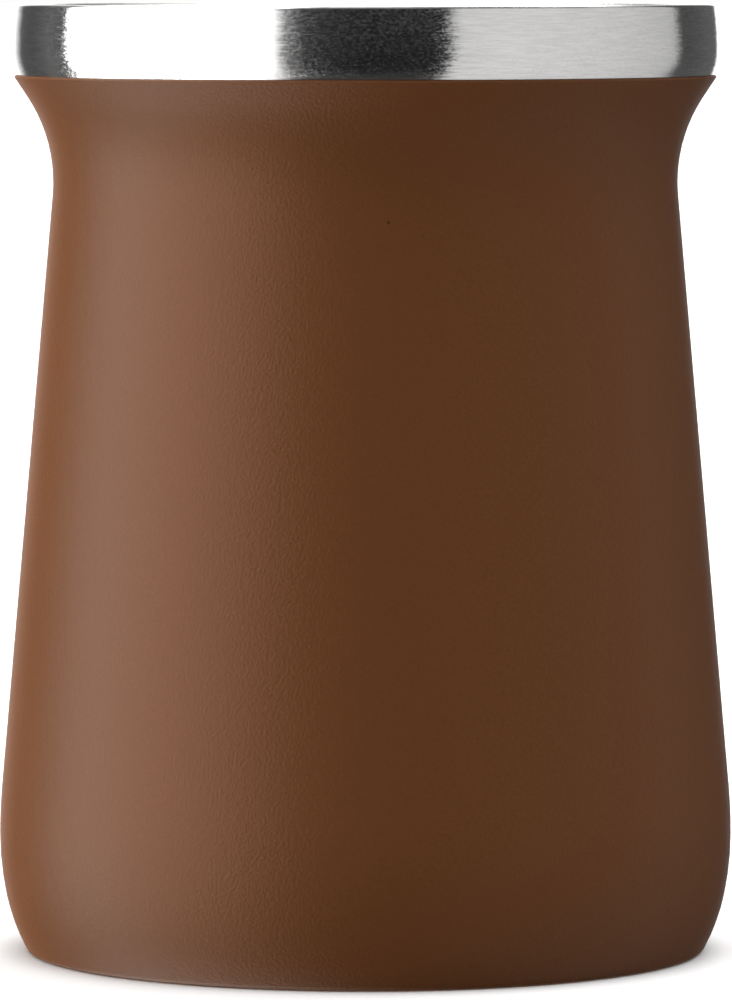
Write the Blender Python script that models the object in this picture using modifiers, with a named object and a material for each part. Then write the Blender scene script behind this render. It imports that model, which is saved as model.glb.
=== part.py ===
"""An empty insulated mate cup, standing on the origin with +Z up. All lengths are metres.

The cup is two turned pieces. The steel liner is the inner cup, the rounded lip and the bare
band below the lip. The coated body is the painted flask around it: a waist under the band,
a straight side that widens downward, and a belly that rolls in to the foot ring.
"""

import bpy
from math import cos, pi, radians, sin, sqrt, tan

MM = 0.001
SEGMENTS = 64
CLEARANCE = 0.3 * MM

HEIGHT = 100 * MM

# Outside of the body, from the foot up
FOOT_CORNER = 1.0 * MM
HEEL_CURVE = 21 * MM
HEEL_ANGLE = radians(27.9)
FLANK_CURVE = 31 * MM
FLANK_ANGLE = radians(11.8)
BELLY_RADIUS = 38.7 * MM
BELLY_CURVE = 58 * MM
SIDE_TAPER = radians(5.05)
WAIST_RADIUS = 32.9 * MM
WAIST_CURVE = 16.2 * MM
FLARE_ANGLE = radians(33.5)
COAT_TOP = 92.4 * MM
COAT_EDGE = 0.3 * MM

# Recess under the base
FOOT_RING_WIDTH = 4.2 * MM
RECESS_DEPTH = 1.6 * MM
RECESS_FILLET = 0.8 * MM

# Bare steel band and lip
BAND_RADIUS = 37.2 * MM
BAND_WIDEST = 95.1 * MM
BAND_UPPER_CURVE = 34 * MM
BAND_LOWER_CURVE = 7 * MM
LIP_WIDTH = 1.9 * MM
LIP_OUTER_ROUND = 0.55 * MM
LIP_INNER_ROUND = 0.9 * MM

# Inside of the cup
WALL = 1.0 * MM
FLOOR = 8.0 * MM
FLOOR_CURVE = 11 * MM
INNER_WAIST_RADIUS = 29.2 * MM
INNER_TAPER = radians(0.6)
MOUTH_CURVE = 8 * MM

COAT_COLOR = (0.135, 0.058, 0.029, 1)
STEEL_COLOR = (0.61, 0.60, 0.58, 1)


def arc(center, radius, start, end, steps):
    """Points on a circle round (r, z), angles measured from the outward direction."""
    points = []
    for i in range(steps + 1):
        angle = start + (end - start) * i / steps
        points.append((center[0] + radius * cos(angle), center[1] + radius * sin(angle)))
    return points


def belly_height():
    """The height of the widest place, found from the curves below it that end on the ground."""
    heel = (HEEL_CURVE - FOOT_CORNER) * sin(HEEL_ANGLE)
    flank = (FLANK_CURVE - HEEL_CURVE) * sin(FLANK_ANGLE)
    return FOOT_CORNER + heel + flank


def waist_height():
    """The height of the waist, found by following the straight side up from the belly."""
    side_radius = BELLY_RADIUS - BELLY_CURVE * (1 - cos(SIDE_TAPER))
    side_start = belly_height() + BELLY_CURVE * sin(SIDE_TAPER)
    side_end_radius = WAIST_RADIUS + WAIST_CURVE * (1 - cos(SIDE_TAPER))
    side_end = side_start + (side_radius - side_end_radius) / tan(SIDE_TAPER)
    return side_end + WAIST_CURVE * sin(SIDE_TAPER)


# The outer skin, the wall of the liner and its inner face all curve round this one point at the waist.
WAIST_CENTER = (WAIST_RADIUS + WAIST_CURVE, waist_height())


def flare_to(curve, height):
    """The point where the straight flare above a waist of this curve reaches a height."""
    radius = WAIST_CENTER[0] - curve * cos(FLARE_ANGLE)
    start = WAIST_CENTER[1] + curve * sin(FLARE_ANGLE)
    return (radius + (height - start) * tan(FLARE_ANGLE), height)


def cup_wall(offset):
    """The liner's wall from the axis up to the end of the waist curve, moved outward by offset."""
    curve = WAIST_CENTER[0] - INNER_WAIST_RADIUS - offset
    waist = arc(WAIST_CENTER, curve, pi + INNER_TAPER, pi - FLARE_ANGLE, 7)
    corner = FLOOR_CURVE + offset
    center_height = FLOOR + FLOOR_CURVE
    wall_drop = waist[0][1] - center_height
    center_radius = waist[0][0] - wall_drop * tan(INNER_TAPER) - corner / cos(INNER_TAPER)
    rounded = arc((center_radius, center_height), corner, -pi / 2, -INNER_TAPER, 7)
    return [(0, FLOOR - offset)] + rounded + waist


def outer_skin():
    """The painted outside, from the upper edge of the coat down to the edge of the foot ring."""
    edge = flare_to(WAIST_CURVE, COAT_TOP - COAT_EDGE)
    rounded = arc((edge[0] - COAT_EDGE, edge[1]), COAT_EDGE, pi / 2, 0, 2)
    waist = arc(WAIST_CENTER, WAIST_CURVE, pi - FLARE_ANGLE, pi + SIDE_TAPER, 8)
    belly = (BELLY_RADIUS - BELLY_CURVE, belly_height())
    flank = (BELLY_RADIUS - FLANK_CURVE, belly_height())
    heel = (
        flank[0] + (FLANK_CURVE - HEEL_CURVE) * cos(FLANK_ANGLE),
        flank[1] - (FLANK_CURVE - HEEL_CURVE) * sin(FLANK_ANGLE),
    )
    foot = (heel[0] + (HEEL_CURVE - FOOT_CORNER) * cos(HEEL_ANGLE), FOOT_CORNER)
    return (
        rounded
        + waist
        + arc(belly, BELLY_CURVE, SIDE_TAPER, 0, 2)
        + arc(flank, FLANK_CURVE, 0, -FLANK_ANGLE, 2)[1:]
        + arc(heel, HEEL_CURVE, -FLANK_ANGLE, -HEEL_ANGLE, 3)[1:]
        + arc(foot, FOOT_CORNER, -HEEL_ANGLE, -pi / 2, 4)[1:]
    )


def base_recess(foot_edge):
    """The flat ring that the cup stands on, and the shallow recess inside it."""
    ring_edge = foot_edge - FOOT_RING_WIDTH
    step_down = arc((ring_edge, RECESS_FILLET), RECESS_FILLET, -pi / 2, -pi, 3)
    step_in = arc((ring_edge - 2 * RECESS_FILLET, RECESS_DEPTH - RECESS_FILLET), RECESS_FILLET, 0, pi / 2, 3)
    return step_down + step_in[1:] + [(0, RECESS_DEPTH)]


def band_and_lip(mouth_radius):
    """The lip from its inner side over the top, and the barrelled band down to its lower edge."""
    outer = mouth_radius + LIP_WIDTH
    upper_center = (BAND_RADIUS - BAND_UPPER_CURVE, BAND_WIDEST)
    lower_center = (BAND_RADIUS - BAND_LOWER_CURVE, BAND_WIDEST)
    inner_round = arc((mouth_radius + LIP_INNER_ROUND, HEIGHT - LIP_INNER_ROUND), LIP_INNER_ROUND, pi, pi / 2, 3)
    outer_round = arc((outer - LIP_OUTER_ROUND, HEIGHT - LIP_OUTER_ROUND), LIP_OUTER_ROUND, pi / 2, 0, 3)
    band_end = COAT_TOP + CLEARANCE
    rise = outer_round[-1][1] - BAND_WIDEST
    upper = []
    for share in (2 / 3, 1 / 3, 0):
        height = rise * share
        upper.append((upper_center[0] + sqrt(BAND_UPPER_CURVE**2 - height**2), BAND_WIDEST + height))
    lower = []
    for share in (1 / 3, 2 / 3, 1):
        height = (BAND_WIDEST - band_end) * share
        lower.append((lower_center[0] + sqrt(BAND_LOWER_CURVE**2 - height**2), BAND_WIDEST - height))
    return inner_round + outer_round + upper + lower


def body_profile():
    inner = cup_wall(WALL + CLEARANCE)
    shoulder = flare_to(WAIST_CENTER[0] - INNER_WAIST_RADIUS - WALL - CLEARANCE, COAT_TOP)
    skin = outer_skin()
    return inner + [shoulder] + skin + base_recess(skin[-1][0])


def liner_profile():
    inner = cup_wall(0)
    lip_radius = BAND_RADIUS - BAND_UPPER_CURVE + sqrt(
        BAND_UPPER_CURVE**2 - (HEIGHT - LIP_OUTER_ROUND - BAND_WIDEST) ** 2
    )
    mouth_radius = lip_radius - LIP_WIDTH
    bend_radius = mouth_radius - MOUTH_CURVE * (1 - cos(FLARE_ANGLE))
    flare_rise = (bend_radius - inner[-1][0]) / tan(FLARE_ANGLE)
    bend_height = inner[-1][1] + flare_rise + MOUTH_CURVE * sin(FLARE_ANGLE)
    mouth = arc((mouth_radius - MOUTH_CURVE, bend_height), MOUTH_CURVE, -FLARE_ANGLE, 0, 4)
    outer = cup_wall(WALL)
    shoulder = flare_to(WAIST_CENTER[0] - INNER_WAIST_RADIUS - WALL, COAT_TOP + CLEARANCE)
    return inner + mouth + band_and_lip(mouth_radius) + [shoulder] + outer[::-1]


def material(name, color, roughness, metallic):
    made = bpy.data.materials.new(name)
    made.use_nodes = True
    shader = made.node_tree.nodes["Principled BSDF"]
    shader.inputs["Base Color"].default_value = color
    shader.inputs["Roughness"].default_value = roughness
    shader.inputs["Metallic"].default_value = metallic
    made.diffuse_color = color
    return made


def turned(name, profile, finish, collection):
    """A closed solid: the profile, drawn at +X, turned once round the Z axis."""
    mesh = bpy.data.meshes.new(name)
    edges = [(i, i + 1) for i in range(len(profile) - 1)]
    mesh.from_pydata([(radius, 0, height) for radius, height in profile], edges, [])
    mesh.materials.append(finish)
    piece = bpy.data.objects.new(name, mesh)
    collection.objects.link(piece)
    turn = piece.modifiers.new("Turn", "SCREW")
    turn.axis = "Z"
    turn.angle = 2 * pi
    turn.steps = SEGMENTS
    turn.render_steps = SEGMENTS
    turn.use_merge_vertices = True
    turn.merge_threshold = 0.01 * MM
    turn.use_smooth_shade = True
    return piece


def main():
    for old in list(bpy.data.objects):
        bpy.data.objects.remove(old, do_unlink=True)
    cup = bpy.data.collections.new("Mate cup")
    bpy.context.scene.collection.children.link(cup)
    coat = material("Brown coat", COAT_COLOR, roughness=0.5, metallic=0)
    steel = material("Brushed steel", STEEL_COLOR, roughness=0.25, metallic=1)
    turned("coated_body", body_profile(), coat, cup)
    turned("steel_liner", liner_profile(), steel, cup)


main()
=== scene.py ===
# %% [markdown]
# # An insulated steel mate cup
#
# This lesson dresses a small double-walled cup for drinking mate: a brown powder-coated flask
# with a waist, a bare brushed steel band at the mouth, and a plain steel inside. The solids
# come ready made at their real size. Here they get finer shapes and real finishes.

# %% Load the frame
from math import asin, cos, pi, radians, sin, tan

import bpy
import bmesh
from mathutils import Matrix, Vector


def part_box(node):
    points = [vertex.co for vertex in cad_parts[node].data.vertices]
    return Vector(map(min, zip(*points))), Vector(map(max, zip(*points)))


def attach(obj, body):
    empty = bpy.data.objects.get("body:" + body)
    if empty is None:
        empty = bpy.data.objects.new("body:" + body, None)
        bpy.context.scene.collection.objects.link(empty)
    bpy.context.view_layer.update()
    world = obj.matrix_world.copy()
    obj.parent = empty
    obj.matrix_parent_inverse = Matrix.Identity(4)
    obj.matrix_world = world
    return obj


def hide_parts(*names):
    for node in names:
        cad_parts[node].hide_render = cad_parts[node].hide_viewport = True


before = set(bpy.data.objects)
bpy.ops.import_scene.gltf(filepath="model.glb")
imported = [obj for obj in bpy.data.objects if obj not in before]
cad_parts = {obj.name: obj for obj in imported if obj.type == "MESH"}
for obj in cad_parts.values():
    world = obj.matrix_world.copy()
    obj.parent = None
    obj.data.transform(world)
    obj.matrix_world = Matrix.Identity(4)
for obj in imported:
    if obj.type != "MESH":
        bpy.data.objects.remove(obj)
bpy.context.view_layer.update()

# %% [markdown]
# ## Sizes
#
# The cup is turned, so its whole shape is one outline and a few radii. The height, the widest
# radius and the places of the coat's edge and the inner floor are read from the frame. The
# other values are the radii of the arcs that the outline is made of. The solids keep a gap
# between coat and band. On the real cup the coat runs up to the steel, so its edge is raised.

# %% Driving sizes
MM = 0.001
coat_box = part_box("coated_body")
steel_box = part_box("steel_liner")

HEIGHT = steel_box[1].z
BELLY_RADIUS = coat_box[1].x
COAT_RAISED = 0.12 * MM
COAT_TOP = coat_box[1].z + COAT_RAISED
BAND_RADIUS = steel_box[1].x
WALL = 1.0 * MM
FLOOR = steel_box[0].z + WALL

FOOT_CORNER = 1.0 * MM
HEEL_CURVE = 21 * MM
HEEL_ANGLE = radians(27.9)
FLANK_CURVE = 31 * MM
FLANK_ANGLE = radians(11.8)
BELLY_CURVE = 58 * MM
SIDE_TAPER = radians(5.05)
WAIST_RADIUS = 32.9 * MM
WAIST_CURVE = 16.2 * MM
FLARE_ANGLE = radians(33.5)
print("height", round(HEIGHT / MM, 1), "mm, widest", round(2 * BELLY_RADIUS / MM, 1), "mm")

# %% [markdown]
# ## The camera
#
# The photograph was taken with a long lens from a little above the rim, so the near lip and
# the band's edge are very flat ellipses. The camera stands 83 cm away and looks down by 4
# degrees. The sensor is fitted by its height, so the picture's shape doesn't change the view.

# %% Camera
CAMERA_DISTANCE = 831.2 * MM
CAMERA_HEIGHT = 105.6 * MM
CAMERA_ASIDE = 0.06 * MM
CAMERA_PITCH = radians(3.99)
FRAME_HEIGHT_PX = 1000
FOCAL_PX = 7881
SENSOR_HEIGHT_MM = 24

camera_data = bpy.data.cameras.new("camera")
camera_data.sensor_fit = "VERTICAL"
camera_data.sensor_height = SENSOR_HEIGHT_MM
camera_data.lens = FOCAL_PX / FRAME_HEIGHT_PX * SENSOR_HEIGHT_MM
camera = bpy.data.objects.new("camera", camera_data)
camera.location = (CAMERA_ASIDE, -CAMERA_DISTANCE, CAMERA_HEIGHT)
camera.rotation_euler = (pi / 2 - CAMERA_PITCH, 0, 0)
bpy.context.scene.collection.objects.link(camera)
bpy.context.scene.camera = camera
print("camera lens", round(camera_data.lens, 1), "mm")

# %% [markdown]
# ## Drawing an outline
#
# A turned piece could be built from stacked cylinders, but its arcs would then be guesses. It
# is cleaner to draw half of its section as a line in edit mode and to spin that line round the
# axis, as a lathe does. The line starts as a small plane merged into one point. Straight runs
# are extruded from the last point, and arcs are made by spinning that point round the arc's
# centre, so every round stretch is a true arc.

# %% Outline helpers
AXIS_Y = (0, 1, 0)
AXIS_Z = (0, 0, 1)
ARC_STEP = radians(4)
ARC_STEPS_LEAST = 3
SEGMENTS = 192
WELD = 0.002 * MM
SHARP_EDGE = radians(35)


def start_outline(name, radius, height):
    """A new object in edit mode that holds one point at this radius and height."""
    bpy.ops.object.select_all(action="DESELECT")
    bpy.ops.mesh.primitive_plane_add(size=MM, location=(0, 0, 0))
    piece = bpy.context.object
    piece.name = name
    piece.data.name = name
    bpy.ops.object.mode_set(mode="EDIT")
    bpy.ops.mesh.select_all(action="SELECT")
    bpy.ops.mesh.merge(type="CENTER")
    bpy.ops.transform.translate(value=(radius, 0, height))
    return piece


def pen_place(piece):
    """The radius and height of the selected point, where the outline goes on."""
    points = [v.co for v in bmesh.from_edit_mesh(piece.data).verts if v.select]
    return points[0].x, points[0].z


def line_to(piece, radius, height):
    """Extrudes the last point along a straight run."""
    r, z = pen_place(piece)
    step = (radius - r, 0, height - z)
    bpy.ops.mesh.extrude_region_move(TRANSFORM_OT_translate={"value": step})


def arc_about(piece, center, turn):
    """Spins the last point round an arc's centre. A positive turn runs from outward to up."""
    steps = max(ARC_STEPS_LEAST, round(abs(turn) / ARC_STEP))
    bpy.ops.mesh.spin(
        steps=steps, angle=turn, center=(center[0], 0, center[1]), axis=AXIS_Y, dupli=False
    )


def turn_round(piece):
    """Spins the outline once round the axis and closes the seam and the two poles."""
    bpy.ops.mesh.select_all(action="SELECT")
    bpy.ops.mesh.spin(steps=SEGMENTS, angle=2 * pi, center=(0, 0, 0), axis=AXIS_Z)
    bpy.ops.mesh.select_all(action="SELECT")
    bpy.ops.mesh.remove_doubles(threshold=WELD)
    bpy.ops.mesh.normals_make_consistent(inside=False)
    bpy.ops.object.mode_set(mode="OBJECT")
    bpy.ops.object.shade_smooth_by_angle(angle=SHARP_EDGE)
    print(piece.name, len(piece.data.polygons), "faces")


# %% [markdown]
# ## The shape that both pieces share
#
# The belly sits as high as the curves below it need to end on the ground, and the waist where
# the straight side reaches it. The outside of the waist and the inside of the mouth curve
# round one common centre, so the wall keeps its thickness there.

# %% Shared places
heel_rise = (HEEL_CURVE - FOOT_CORNER) * sin(HEEL_ANGLE)
flank_rise = (FLANK_CURVE - HEEL_CURVE) * sin(FLANK_ANGLE)
BELLY_HEIGHT = FOOT_CORNER + heel_rise + flank_rise

side_drop = BELLY_CURVE * (1 - cos(SIDE_TAPER))
waist_swell = WAIST_CURVE * (1 - cos(SIDE_TAPER))
side_length = (BELLY_RADIUS - side_drop - WAIST_RADIUS - waist_swell) / tan(SIDE_TAPER)
WAIST_HEIGHT = BELLY_HEIGHT + (BELLY_CURVE + WAIST_CURVE) * sin(SIDE_TAPER) + side_length
WAIST_CENTER = (WAIST_RADIUS + WAIST_CURVE, WAIST_HEIGHT)
INNER_WAIST_RADIUS = 29.2 * MM
INNER_WAIST_CURVE = WAIST_CENTER[0] - INNER_WAIST_RADIUS
INNER_TAPER = radians(0.6)
FLOOR_CURVE = 11 * MM
print("belly at", round(BELLY_HEIGHT / MM, 1), "mm, waist at", round(WAIST_HEIGHT / MM, 1), "mm")


def flare_foot(curve):
    """Where the straight flare above a waist of this curve begins, as radius and height."""
    return (WAIST_CENTER[0] - curve * cos(FLARE_ANGLE), WAIST_HEIGHT + curve * sin(FLARE_ANGLE))


def flare_radius(curve, height):
    """Radius of the straight flare above a waist of this curve, at a height."""
    radius, start = flare_foot(curve)
    return radius + (height - start) * tan(FLARE_ANGLE)


def wall_to_waist(piece, offset, upward):
    """Draws the inner cup's wall, moved outward by offset, between the axis and the flare."""
    waist_curve = INNER_WAIST_CURVE - offset
    corner = FLOOR_CURVE + offset
    wall_top = (
        WAIST_CENTER[0] - waist_curve * cos(INNER_TAPER),
        WAIST_HEIGHT - waist_curve * sin(INNER_TAPER),
    )
    center_height = FLOOR + FLOOR_CURVE
    lean = (wall_top[1] - center_height) * tan(INNER_TAPER)
    center = (wall_top[0] - lean - corner / cos(INNER_TAPER), center_height)
    wall_foot = (center[0] + corner * cos(INNER_TAPER), center[1] - corner * sin(INNER_TAPER))
    if upward:
        line_to(piece, center[0], FLOOR - offset)
        arc_about(piece, center, pi / 2 - INNER_TAPER)
        line_to(piece, *wall_top)
        arc_about(piece, WAIST_CENTER, -(INNER_TAPER + FLARE_ANGLE))
        return
    arc_about(piece, WAIST_CENTER, INNER_TAPER + FLARE_ANGLE)
    line_to(piece, *wall_foot)
    arc_about(piece, center, INNER_TAPER - pi / 2)
    line_to(piece, 0, FLOOR - offset)


# %% [markdown]
# ## The coated body
#
# The coat follows the outer shell from its sharp upper edge under the steel band, in over the
# waist, down the straight side, round the belly and in to the foot ring. The base has a
# shallow recess, so the cup stands on a ring and not on its middle. The underside can't be
# seen in the photograph and is finished plainly, like the outside.

# %% Coated body: the inside, the coat's edge and the waist
CLEARANCE = 0.3 * MM
COAT_EDGE = 0.22 * MM

inner_gap = WALL + CLEARANCE
body = start_outline("body_coat", 0, FLOOR - inner_gap)
wall_to_waist(body, inner_gap, upward=True)
line_to(body, flare_radius(INNER_WAIST_CURVE - inner_gap, COAT_TOP), COAT_TOP)
edge_height = COAT_TOP - COAT_EDGE
edge_center = (flare_radius(WAIST_CURVE, edge_height) - COAT_EDGE, edge_height)
line_to(body, edge_center[0], COAT_TOP)
arc_about(body, edge_center, -pi / 2)
line_to(body, *flare_foot(WAIST_CURVE))
arc_about(body, WAIST_CENTER, FLARE_ANGLE + SIDE_TAPER)

# %% Coated body: the side, the belly and the foot
belly_center = (BELLY_RADIUS - BELLY_CURVE, BELLY_HEIGHT)
line_to(
    body,
    belly_center[0] + BELLY_CURVE * cos(SIDE_TAPER),
    BELLY_HEIGHT + BELLY_CURVE * sin(SIDE_TAPER),
)
arc_about(body, belly_center, -SIDE_TAPER)
flank_center = (BELLY_RADIUS - FLANK_CURVE, BELLY_HEIGHT)
arc_about(body, flank_center, -FLANK_ANGLE)
heel_center = (
    flank_center[0] + (FLANK_CURVE - HEEL_CURVE) * cos(FLANK_ANGLE),
    flank_center[1] - (FLANK_CURVE - HEEL_CURVE) * sin(FLANK_ANGLE),
)
arc_about(body, heel_center, FLANK_ANGLE - HEEL_ANGLE)
foot_center = (heel_center[0] + (HEEL_CURVE - FOOT_CORNER) * cos(HEEL_ANGLE), FOOT_CORNER)
arc_about(body, foot_center, HEEL_ANGLE - pi / 2)

# %% Coated body: the ring that it stands on and the recess
FOOT_RING_WIDTH = 4.2 * MM
RECESS_DEPTH = 1.6 * MM
RECESS_FILLET = 0.8 * MM

ring_edge = foot_center[0] - FOOT_RING_WIDTH
line_to(body, ring_edge, 0)
arc_about(body, (ring_edge, RECESS_FILLET), -pi / 2)
step_center = (ring_edge - 2 * RECESS_FILLET, RECESS_DEPTH - RECESS_FILLET)
line_to(body, ring_edge - RECESS_FILLET, step_center[1])
arc_about(body, step_center, pi / 2)
line_to(body, 0, RECESS_DEPTH)
turn_round(body)
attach(body, "root")
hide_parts("coated_body")

# %% [markdown]
# ## The steel cup
#
# The inner cup, the lip and the bare band are drawn in one line. The band is slightly
# barrelled: it is widest two thirds of the way down, and it tucks in to meet the coat. The
# lip has small rounds, the outer one tighter, so that it catches a thin line of light. The
# places are worked out first: the lip from the band's curve, and the mouth from the lip.

# %% Places on the band and the mouth
BAND_WIDEST = 95.1 * MM
BAND_UPPER_CURVE = 34 * MM
BAND_LOWER_CURVE = 7 * MM
BAND_JOINT = 0.04 * MM
BAND_END = COAT_TOP + BAND_JOINT
LIP_WIDTH = 1.9 * MM
LIP_OUTER_ROUND = 0.35 * MM
LIP_INNER_ROUND = 0.9 * MM
MOUTH_CURVE = 8 * MM

upper_center = (BAND_RADIUS - BAND_UPPER_CURVE, BAND_WIDEST)
lower_center = (BAND_RADIUS - BAND_LOWER_CURVE, BAND_WIDEST)
upper_angle = asin((HEIGHT - LIP_OUTER_ROUND - BAND_WIDEST) / BAND_UPPER_CURVE)
lower_angle = asin((BAND_WIDEST - BAND_END) / BAND_LOWER_CURVE)
band_top = upper_center[0] + BAND_UPPER_CURVE * cos(upper_angle)
lip_center = (band_top - LIP_OUTER_ROUND, HEIGHT - LIP_OUTER_ROUND)
mouth_radius = band_top - LIP_WIDTH
mouth_bend = mouth_radius - MOUTH_CURVE
bend_start = mouth_bend + MOUTH_CURVE * cos(FLARE_ANGLE)
flare_radius_low, flare_height_low = flare_foot(INNER_WAIST_CURVE)
bend_start_height = flare_height_low + (bend_start - flare_radius_low) / tan(FLARE_ANGLE)
bend_height = bend_start_height + MOUTH_CURVE * sin(FLARE_ANGLE)
print("mouth", round(2 * mouth_radius / MM, 1), "mm across")

# %% Steel cup
cup = start_outline("steel_cup", 0, FLOOR)
wall_to_waist(cup, 0, upward=True)
line_to(cup, bend_start, bend_start_height)
arc_about(cup, (mouth_bend, bend_height), FLARE_ANGLE)
line_to(cup, mouth_radius, HEIGHT - LIP_INNER_ROUND)
arc_about(cup, (mouth_radius + LIP_INNER_ROUND, HEIGHT - LIP_INNER_ROUND), -pi / 2)
line_to(cup, lip_center[0], HEIGHT)
arc_about(cup, lip_center, -pi / 2)
arc_about(cup, upper_center, -upper_angle)
arc_about(cup, lower_center, -lower_angle)
outer_flare = INNER_WAIST_CURVE - WALL
line_to(cup, flare_radius(outer_flare, BAND_END), BAND_END)
line_to(cup, *flare_foot(outer_flare))
wall_to_waist(cup, WALL, upward=False)
turn_round(cup)
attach(cup, "root")
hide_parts("steel_liner")

# %% [markdown]
# ## Small helpers for node trees
#
# Materials are built from nodes in code. These helpers keep that short. A value may be a plain
# number, colour or vector, or another node's output, which is then linked. The helper that adds
# a node sets its inputs by their names, with an underscore for each space.

# %% Node helpers


def plug(tree, socket, value):
    """Links a node's output to a socket, or sets a plain value on it."""
    if isinstance(value, bpy.types.NodeSocket):
        tree.links.new(value, socket)
    else:
        socket.default_value = value


def add_node(tree, kind, settings=None, **inputs):
    """Adds a node, with its settings and its inputs."""
    node = tree.nodes.new(kind)
    for name, value in (settings or {}).items():
        setattr(node, name, value)
    for name, value in inputs.items():
        plug(tree, node.inputs[name.replace("_", " ")], value)
    return node


def number_math(tree, operation, *values):
    """The result of a sum on numbers."""
    node = add_node(tree, "ShaderNodeMath", {"operation": operation})
    for socket, value in zip(node.inputs, values):
        plug(tree, socket, value)
    return node.outputs[0]


def vector_math(tree, operation, *values):
    """The result of a sum on vectors, which is a number for a length or a dot product."""
    node = add_node(tree, "ShaderNodeVectorMath", {"operation": operation})
    for socket, value in zip(node.inputs, values):
        plug(tree, socket, value)
    return node.outputs["Value" if operation in ("LENGTH", "DOT_PRODUCT") else "Vector"]


def spread(tree, value, span, result=(0, 1), curve="LINEAR"):
    """Stretches a span of values over a span of results, and holds it at both ends."""
    return add_node(
        tree,
        "ShaderNodeMapRange",
        {"interpolation_type": curve},
        Value=value,
        From_Min=span[0],
        From_Max=span[1],
        To_Min=result[0],
        To_Max=result[1],
    ).outputs[0]


def blend(tree, share, first, second):
    """A colour between two."""
    mix = add_node(tree, "ShaderNodeMix", {"data_type": "RGBA"}, Factor=share)
    plug(tree, mix.inputs[6], first)
    plug(tree, mix.inputs[7], second)
    return mix.outputs[2]


# %% [markdown]
# ## Brush marks
#
# The steel is brushed round the cup, so every scratch runs along a circle. The group makes
# noise that is long round the axis and very short across it. It reads the angle as a point on
# the unit circle, so the marks meet with no seam, and height and radius as the other two
# directions, so they stay circles on the wall and on the floor alike. Long scratches and short
# grains are the same noise at two sizes, which is why it is a group with both as inputs.

# %% Brush marks group
NOISE_DETAIL = 2
NOISE_ROUGHNESS = 0.6

marks = bpy.data.node_groups.new("brush_marks", "ShaderNodeTree")
for socket_name in ("Length", "Spacing"):
    marks.interface.new_socket(socket_name, in_out="INPUT", socket_type="NodeSocketFloat")
marks.interface.new_socket("Marks", in_out="OUTPUT", socket_type="NodeSocketFloat")

given = marks.nodes.new("NodeGroupInput").outputs
place = add_node(marks, "ShaderNodeTexCoord").outputs["Object"]
parts = add_node(marks, "ShaderNodeSeparateXYZ", Vector=place).outputs
flat = add_node(marks, "ShaderNodeCombineXYZ", X=parts["X"], Y=parts["Y"]).outputs[0]
radius = vector_math(marks, "LENGTH", flat)
unit = vector_math(marks, "NORMALIZE", flat)
circle = add_node(marks, "ShaderNodeSeparateXYZ", Vector=unit).outputs
stretch = number_math(marks, "DIVIDE", BAND_RADIUS, given["Length"])
finely = number_math(marks, "DIVIDE", 1, given["Spacing"])
along = add_node(
    marks,
    "ShaderNodeCombineXYZ",
    X=number_math(marks, "MULTIPLY", circle["X"], stretch),
    Y=number_math(marks, "MULTIPLY", circle["Y"], stretch),
    Z=number_math(marks, "MULTIPLY", parts["Z"], finely),
).outputs[0]
hairs = add_node(
    marks,
    "ShaderNodeTexNoise",
    {"noise_dimensions": "4D"},
    Vector=along,
    W=number_math(marks, "MULTIPLY", radius, finely),
    Scale=1,
    Detail=NOISE_DETAIL,
    Roughness=NOISE_ROUGHNESS,
).outputs[0]
result = marks.nodes.new("NodeGroupOutput")
marks.links.new(hairs, result.inputs["Marks"])
print("brush marks group with", len(marks.nodes), "nodes")

# %% [markdown]
# ## Brushed stainless steel
#
# Bare steel is a metal with a grey colour. Brushing makes it rough across the scratches and
# fairly smooth along them, so its reflections smear up and down. The shader's own tangent
# runs round the Z axis, and a quarter turn points the wide side of the smear along the wall.
# The steel is a little lighter and darker along its scratches, and each short grain is rougher
# or smoother than the next, which is what makes the dark parts look grainy.

# %% Steel material
STEEL_LIGHT = (0.71, 0.70, 0.695, 1)
STEEL_DARK = (0.59, 0.585, 0.58, 1)
STEEL_ANISOTROPY = 0.97
QUARTER_TURN = 0.25
STREAK_LENGTH = 2.6 * MM
STREAK_SPACING = 0.17 * MM
STREAK_SHARE = 0.55
GRAIN_LENGTH = 0.36 * MM
GRAIN_SPACING = 0.21 * MM
TONE_SPAN = (0.4, 0.6)
GRAIN_SPAN = (0.4, 0.62)
STEEL_ROUGHNESS = (0.13, 0.24)

steel = bpy.data.materials.new("brushed_steel")
steel.use_nodes = True
tree = steel.node_tree
shader = tree.nodes["Principled BSDF"]
shader.inputs["Metallic"].default_value = 1
shader.inputs["Anisotropic"].default_value = STEEL_ANISOTROPY
shader.inputs["Anisotropic Rotation"].default_value = QUARTER_TURN


def brushing(tree, length, spacing):
    """Brush marks of this length and spacing."""
    node = add_node(tree, "ShaderNodeGroup", {"node_tree": marks}, Length=length, Spacing=spacing)
    return node.outputs["Marks"]


streaks = brushing(tree, STREAK_LENGTH, STREAK_SPACING)
grain = brushing(tree, GRAIN_LENGTH, GRAIN_SPACING)
tone = number_math(
    tree,
    "ADD",
    number_math(tree, "MULTIPLY", streaks, STREAK_SHARE),
    number_math(tree, "MULTIPLY", grain, 1 - STREAK_SHARE),
)
color = blend(tree, spread(tree, tone, TONE_SPAN), STEEL_DARK, STEEL_LIGHT)
plug(tree, shader.inputs["Base Color"], color)
plug(tree, shader.inputs["Roughness"], spread(tree, grain, GRAIN_SPAN, STEEL_ROUGHNESS))
print("steel colours and roughness with", len(tree.nodes), "nodes")

# %% [markdown]
# ## Marks that lean
#
# A short scratch slopes at both of its ends, so light glances off it a little to the left or
# to the right. This frays the edges of the reflections into fine hairs. It could be a bump,
# but a bump also tilts the steel up and down, where the smear hides it. So the marks turn the
# steel's normal round the cup, which is the one direction that shows.

# %% Lean of the marks
GRAIN_LEAN = 0.05
STREAK_LEAN = 0.06
NOISE_MIDDLE = 0.5


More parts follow.
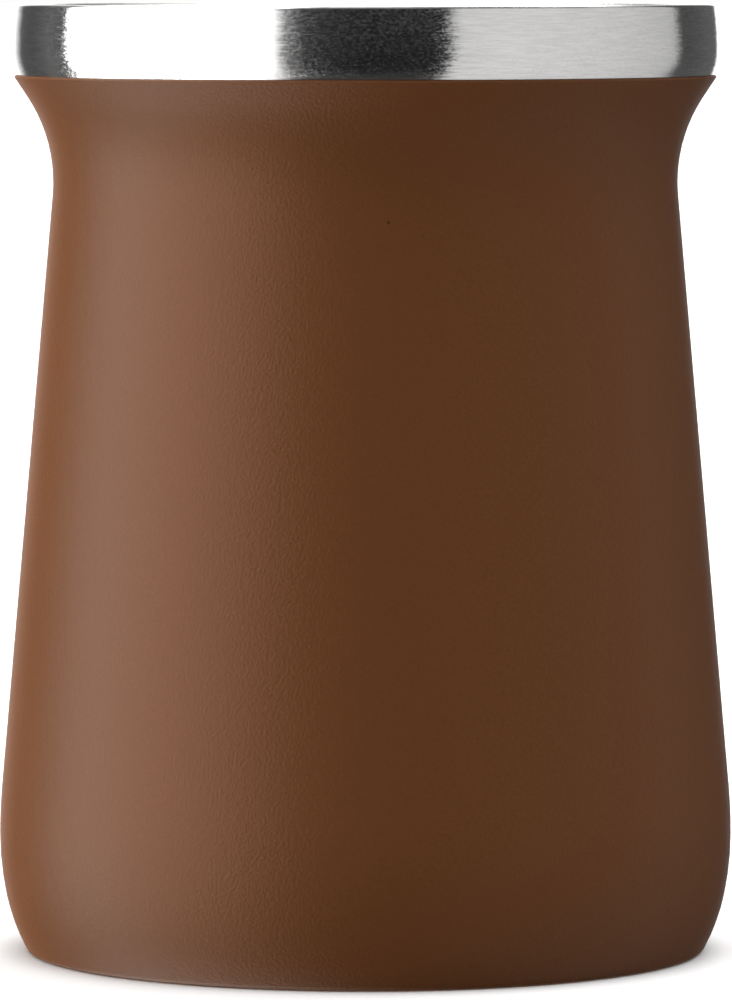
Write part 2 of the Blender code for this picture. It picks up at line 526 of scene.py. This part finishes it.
def leaning(tree, noise, amount):
    """How far this noise leans the surface, to either side of none."""
    either_side = number_math(tree, "SUBTRACT", noise, NOISE_MIDDLE)
    return number_math(tree, "MULTIPLY", either_side, amount)


place = add_node(tree, "ShaderNodeTexCoord").outputs["Object"]
parts = add_node(tree, "ShaderNodeSeparateXYZ", Vector=place).outputs
back_y = number_math(tree, "MULTIPLY", parts["Y"], -1)
sideways = add_node(tree, "ShaderNodeCombineXYZ", X=back_y, Y=parts["X"]).outputs[0]
lean = number_math(
    tree, "ADD", leaning(tree, grain, GRAIN_LEAN), leaning(tree, streaks, STREAK_LEAN)
)
push = vector_math(tree, "MULTIPLY", vector_math(tree, "NORMALIZE", sideways), lean)
normal = add_node(tree, "ShaderNodeNewGeometry").outputs["Normal"]
tilted = vector_math(tree, "NORMALIZE", vector_math(tree, "ADD", normal, push))
plug(tree, shader.inputs["Normal"], tilted)
cup.data.materials.clear()
cup.data.materials.append(steel)
print("steel material with", len(tree.nodes), "nodes")

# %% [markdown]
# ## The powder coat
#
# Powder paint melts into a satin skin with a fine orange peel, a few tenths of a millimetre
# from bump to bump. Real bumps this small would take millions of faces, so they are a bump
# made from noise, and the same noise paints a very little shade into the hollows and a little
# light onto the tops. Here and there a dark grain of dust was baked in, far too few to be a pattern.

# %% Coat material
# The coat's brown with painted shade for the peel's hollows, and a paler brown with painted light
# for its tops.
COAT_SHADED_HOLLOW_COLOR = (0.084, 0.0275, 0.0060, 1)
COAT_LIT_TOP_COLOR = (0.094, 0.0315, 0.0078, 1)
DUST_COLOR = (0.03, 0.012, 0.005, 1)
COAT_ROUGHNESS = 0.44
COAT_SHINE = 0.12
PEEL_SIZE = 0.31 * MM
PEEL_DEPTH = 0.052 * MM
PEEL_SPAN = (0.3, 0.7)
DUST_SPACING = 17 * MM
DUST_SIZE = 0.16 * MM

coat = bpy.data.materials.new("brown_coat")
coat.use_nodes = True
tree = coat.node_tree
shader = tree.nodes["Principled BSDF"]
shader.inputs["Roughness"].default_value = COAT_ROUGHNESS
shader.inputs["Specular IOR Level"].default_value = COAT_SHINE
place = add_node(tree, "ShaderNodeTexCoord").outputs["Object"]
peel = add_node(tree, "ShaderNodeTexNoise", Vector=place, Scale=1 / PEEL_SIZE).outputs[0]
bump = add_node(tree, "ShaderNodeBump", Height=peel, Strength=1, Distance=PEEL_DEPTH).outputs[0]
plug(tree, shader.inputs["Normal"], bump)

# Painted shade in the peel's hollows and painted light on its tops, following the bump's noise.
peel_light_and_shade = blend(tree, spread(tree, peel, PEEL_SPAN), COAT_SHADED_HOLLOW_COLOR, COAT_LIT_TOP_COLOR)
cells = add_node(tree, "ShaderNodeTexVoronoi", Vector=place, Scale=1 / DUST_SPACING).outputs
dust = number_math(tree, "LESS_THAN", cells["Distance"], DUST_SIZE / DUST_SPACING)
plug(tree, shader.inputs["Base Color"], blend(tree, dust, peel_light_and_shade, DUST_COLOR))
body.data.materials.clear()
body.data.materials.append(coat)
print("coat material with", len(tree.nodes), "nodes")

# %% [markdown]
# ## The floor
#
# The photograph's ground is pure white, and only a tight shadow shows where the foot meets it.
# A plain white floor lit past white gives that. It could be an ordinary floor, but the cup in
# the photograph mirrors nothing of a bright ground, so mirror rays don't meet this one, and the
# light that it throws back on the cup is that of a greyer paper. It lies a hair under the foot,
# so that the two flat faces don't share one plane.

# %% Floor
FLOOR_SIZE = 12
FLOOR_DROP = 0.01 * MM
PAPER_SEEN = (0.75, 0.75, 0.75, 1)
PAPER_SHED = (0.42, 0.42, 0.42, 1)

bpy.ops.object.select_all(action="DESELECT")
bpy.ops.mesh.primitive_plane_add(size=FLOOR_SIZE, location=(0, 0, -FLOOR_DROP))
floor = bpy.context.object
floor.name = "floor"
floor.visible_glossy = False
paper = bpy.data.materials.new("white_paper")
paper.use_nodes = True
tree = paper.node_tree
shader = tree.nodes["Principled BSDF"]
shader.inputs["Roughness"].default_value = 1
shader.inputs["Specular IOR Level"].default_value = 0
shed_ray = add_node(tree, "ShaderNodeLightPath").outputs["Is Diffuse Ray"]
plug(tree, shader.inputs["Base Color"], blend(tree, shed_ray, PAPER_SEEN, PAPER_SHED))
floor.data.materials.append(paper)
print("floor", FLOOR_SIZE, "m across")

# %% [markdown]
# ## A light over the mouth
#
# A small lamp hangs just above the cup and brightens the inside, so the far lip and the inner
# wall look as light as they do in the photograph. It hangs outside the picture.

# %% Lamp over the mouth
LAMP_WIDTH = 110 * MM
LAMP_DEPTH = 65 * MM
LAMP_POWER = 0.07
LAMP_BEHIND = 12.5 * MM
LAMP_ABOVE = 55 * MM

lamp_data = bpy.data.lights.new("mouth_lamp", "AREA")
lamp_data.shape = "RECTANGLE"
lamp_data.size = LAMP_WIDTH
lamp_data.size_y = LAMP_DEPTH
lamp_data.energy = LAMP_POWER
lamp = bpy.data.objects.new("mouth_lamp", lamp_data)
lamp.location = (0, LAMP_BEHIND, HEIGHT + LAMP_ABOVE)
lamp.visible_camera = False
bpy.context.scene.collection.objects.link(lamp)
print("lamp", round(lamp.location.z / MM), "mm up")

# %% [markdown]
# ## The directions of the studio
#
# A bright cup needs something bright to reflect. The studio could be built of real sheets and
# lamps, but each would light everything, and the pattern on the steel would be hard to place.
# Here it is a world made of nodes, in which a panel is a stretch of directions. The azimuth is
# counted from the camera, so -90 degrees is straight to the left and 180 is behind the cup, and
# the elevation is counted from the horizon. A panel is then two ramps: one of its brightness
# round the cup, and one of how it fades up and down.

# %% Directions and ramps
FULL_AZIMUTH = 180
FULL_ELEVATION = 90

world = bpy.data.worlds.new("studio")
world.use_nodes = True
bpy.context.scene.world = world
tree = world.node_tree
tree.nodes.clear()
look = add_node(tree, "ShaderNodeTexCoord").outputs["Generated"]
parts = add_node(tree, "ShaderNodeSeparateXYZ", Vector=look).outputs
to_camera = number_math(tree, "MULTIPLY", parts["Y"], -1)
azimuth = number_math(tree, "DEGREES", number_math(tree, "ARCTAN2", parts["X"], to_camera))
elevation = number_math(tree, "DEGREES", number_math(tree, "ARCSINE", parts["Z"]))


def grey_ramp(tree, angle, limit, stops):
    """Greys over an angle that runs from minus the limit to plus the limit, in degrees."""
    ramp = add_node(tree, "ShaderNodeValToRGB", Fac=spread(tree, angle, (-limit, limit)))
    elements = ramp.color_ramp.elements
    elements.remove(elements[1])
    for i, (at, level) in enumerate(stops):
        position = (at + limit) / (2 * limit)
        element = elements[0] if i == 0 else elements.new(position)
        element.position = position
        element.color = (level, level, level, 1)
    return ramp.outputs[0]


def around(tree, stops):
    """Brightness round the cup."""
    return grey_ramp(tree, azimuth, FULL_AZIMUTH, stops)


def upright(tree, stops):
    """Brightness from straight down to straight up."""
    return grey_ramp(tree, elevation, FULL_ELEVATION, stops)


print("directions with", len(tree.nodes), "nodes")

# %% [markdown]
# ## What the cup mirrors
#
# Read from left to right, the band shows a dark part, a white one, a dark one in front, a light
# grey one and a dark end. These are a softbox on the left, the dark room with the camera, and a
# dimmer panel on the right. The softbox is far brighter than white, because the satin coat
# mirrors only a little of it, and that little is the pale haze on its left side. The other
# sheets are small helps: a low one for the haze under the band, a white backdrop for the edges
# of the cup, a lit wall high at the back for the far lip, and a dim light high and low, which
# the wide smear of the rougher grains brings into the dark parts of the band.

# %% Panels that the cup mirrors
ROOM = (
    (-180, 0.12), (-138, 0.1), (-124, 0.17), (-118, 0.09), (-30, 0.03),
    (0, 0.014), (26, 0.022), (128, 0.09), (150, 0.13), (180, 0.12),
)
CEILING = ((62, 0), (74, 0.25))
SOFTBOX = ((-114, 0), (-112, 7), (-100, 9.5), (-60, 10.5), (-42, 8), (-33, 3), (-27, 0.2), (-20, 0))
SOFTBOX_SPAN = ((-88, 0), (-82, 1), (-70, 1), (-52, 0.2), (-34, 0.45), (-15, 1), (60, 1), (75, 0))
LOW_SHEET = ((-162, 0), (-150, 5), (-125, 5.5), (-85, 5.2), (-60, 0))
LOW_SHEET_SPAN = ((-80, 0), (-62, 1), (-44, 1), (-34, 0))
PANEL = ((26, 0), (30, 0.9), (50, 0.92), (80, 0.82), (120, 0.6), (125, 0))
PANEL_SPAN = ((-66, 0), (-50, 1), (20, 1), (42, 0))
BACKDROP = ((-164, 1.4), (-152, 0), (163, 0), (168, 1.4))
BACKDROP_SPAN = ((-14, 0), (-8, 1), (70, 1), (80, 0))
UPPER_BACK = ((-180, 0.9), (-108, 0.9), (-96, 0), (96, 0), (108, 0.9), (180, 0.9))
UPPER_BACK_SPAN = ((32, 0), (46, 1), (85, 1))
DIM_FRONT = (
    (-180, 0), (-150, 0), (-136, 1.5), (-122, 1.5), (-116, 0), (-36, 0), (-26, 1), (22, 1), (30, 0),
)
DIM_FRONT_SPAN = ((-80, 0.09), (-48, 0.09), (-30, 0), (16, 0), (34, 0.28), (70, 0.28))
SHEETS = (
    (SOFTBOX, SOFTBOX_SPAN),
    (LOW_SHEET, LOW_SHEET_SPAN),
    (PANEL, PANEL_SPAN),
    (BACKDROP, BACKDROP_SPAN),
    (UPPER_BACK, UPPER_BACK_SPAN),
    (DIM_FRONT, DIM_FRONT_SPAN),
)

mirrored = number_math(tree, "ADD", around(tree, ROOM), upright(tree, CEILING))
for across, span in SHEETS:
    sheet = number_math(tree, "MULTIPLY", around(tree, across), upright(tree, span))
    mirrored = number_math(tree, "ADD", mirrored, sheet)
print("mirrored studio of", len(SHEETS), "sheets")

# %% [markdown]
# ## What lights the coat
#
# Matt paint blurs its surroundings so much that the edges of panels never show in it. It gets
# an even light from all sides, a wide soft key light from the left, a wide soft light from the
# back right, and one from overhead, which also lights the floor past white. Each soft light
# has the azimuth and elevation of its middle, and its level there.

# %% Soft light
FILL_LEVEL = 0.57
KEY = (-62, 16, 0.9)
BACK_LIGHT = (135, 42, 1.2)
SOFT_SPREAD = (0.6, 0.95)
OVERHEAD = ((45, 0), (62, 3.2))


def toward(degrees_round, degrees_up):
    """The direction this far round from the camera and this far above the horizon."""
    turn, rise = radians(degrees_round), radians(degrees_up)
    return Vector((sin(turn) * cos(rise), -cos(turn) * cos(rise), sin(rise)))


def soft_light(tree, degrees_round, degrees_up, level):
    """A wide round light, brightest in its middle."""
    facing = vector_math(tree, "DOT_PRODUCT", look, toward(degrees_round, degrees_up))
    return spread(tree, facing, SOFT_SPREAD, (0, level), "SMOOTHSTEP")


soft = number_math(tree, "ADD", soft_light(tree, *KEY), FILL_LEVEL)
soft = number_math(tree, "ADD", soft, soft_light(tree, *BACK_LIGHT))
soft = number_math(tree, "ADD", soft, upright(tree, OVERHEAD))
print("soft light with", len(tree.nodes), "nodes so far")

# %% [markdown]
# ## One world of three
#
# The bright softbox would also flood the brown paint. A real studio could keep the two apart
# only by joining several exposures. Here the world looks at the kind of ray: the camera sees
# plain white, mirror rays meet the panels, and all other rays meet the soft light. The renderer
# can also pick directions in the world by itself, and such rays have no kind, so that is turned
# off. Values are shown as they are, so white stays white.

# %% Join the worlds
WHITE = (1, 1, 1, 1)

kind = add_node(tree, "ShaderNodeLightPath").outputs
emitters = [add_node(tree, "ShaderNodeBackground", Color=light) for light in (soft, mirrored, WHITE)]
joined = emitters[0].outputs[0]
for emitter, ray in zip(emitters[1:], ("Is Glossy Ray", "Is Camera Ray")):
    mix = add_node(tree, "ShaderNodeMixShader", Fac=kind[ray])
    plug(tree, mix.inputs[1], joined)
    plug(tree, mix.inputs[2], emitter.outputs[0])
    joined = mix.outputs[0]
add_node(tree, "ShaderNodeOutputWorld", Surface=joined)
world.cycles.sampling_method = "NONE"
bpy.context.scene.view_settings.view_transform = "Standard"
print("studio with", len(tree.nodes), "nodes")
